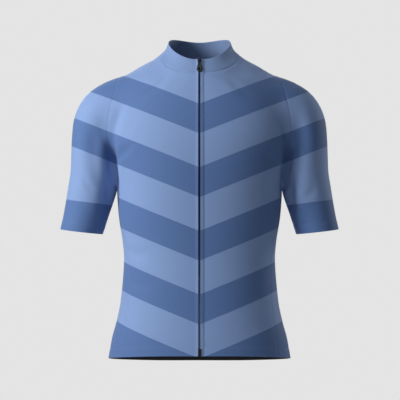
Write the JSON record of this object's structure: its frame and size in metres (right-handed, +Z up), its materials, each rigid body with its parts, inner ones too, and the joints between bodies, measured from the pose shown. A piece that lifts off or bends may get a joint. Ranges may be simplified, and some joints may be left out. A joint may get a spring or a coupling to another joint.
{
  "type": "cycling jersey",
  "caption": "Short-sleeved cycling jersey with a low stand collar, full front zip, side panels and back pockets, filled out as if worn.",
  "frame": {"origin": "middle of the neck, level with the tops of the shoulder seams, where the wearer's shoulders carry the garment", "axes": "+Z up, front faces -Y, the wearer's left is +X"},
  "size_m": [0.5684, 0.2464, 0.6733],
  "materials": {
    "jersey_knit": "matt knitted polyester",
    "black_tape": "black woven tape and elastic",
    "black_coil": "black moulded coil",
    "black_slider": "black painted die casting"
  },
  "bodies": {
    "garment": {"front_left": "jersey_knit", "front_right": "jersey_knit", "back": "jersey_knit", "side_left": "jersey_knit", "side_right": "jersey_knit", "sleeve_left": "jersey_knit", "sleeve_right": "jersey_knit", "collar": "jersey_knit", "pocket_panel": "jersey_knit", "placket_left": "jersey_knit", "placket_right": "jersey_knit", "zip_tape_left": "black_tape", "zip_tape_right": "black_tape", "hem_gripper": "black_tape", "zip_chain": "black_coil", "zip_bottom_box": "black_coil", "zip_slider": "black_slider"},
    "pull": {"zip_pull": "black_slider"}
  },
  "joints": [
    {"name": "pull_turn", "type": "hinge", "parent": "garment", "child": "pull", "pos_m": [0, -0.07452, -0.01317], "axis": [-1, 0, 0], "range_deg": [0, 150]}
  ]
}
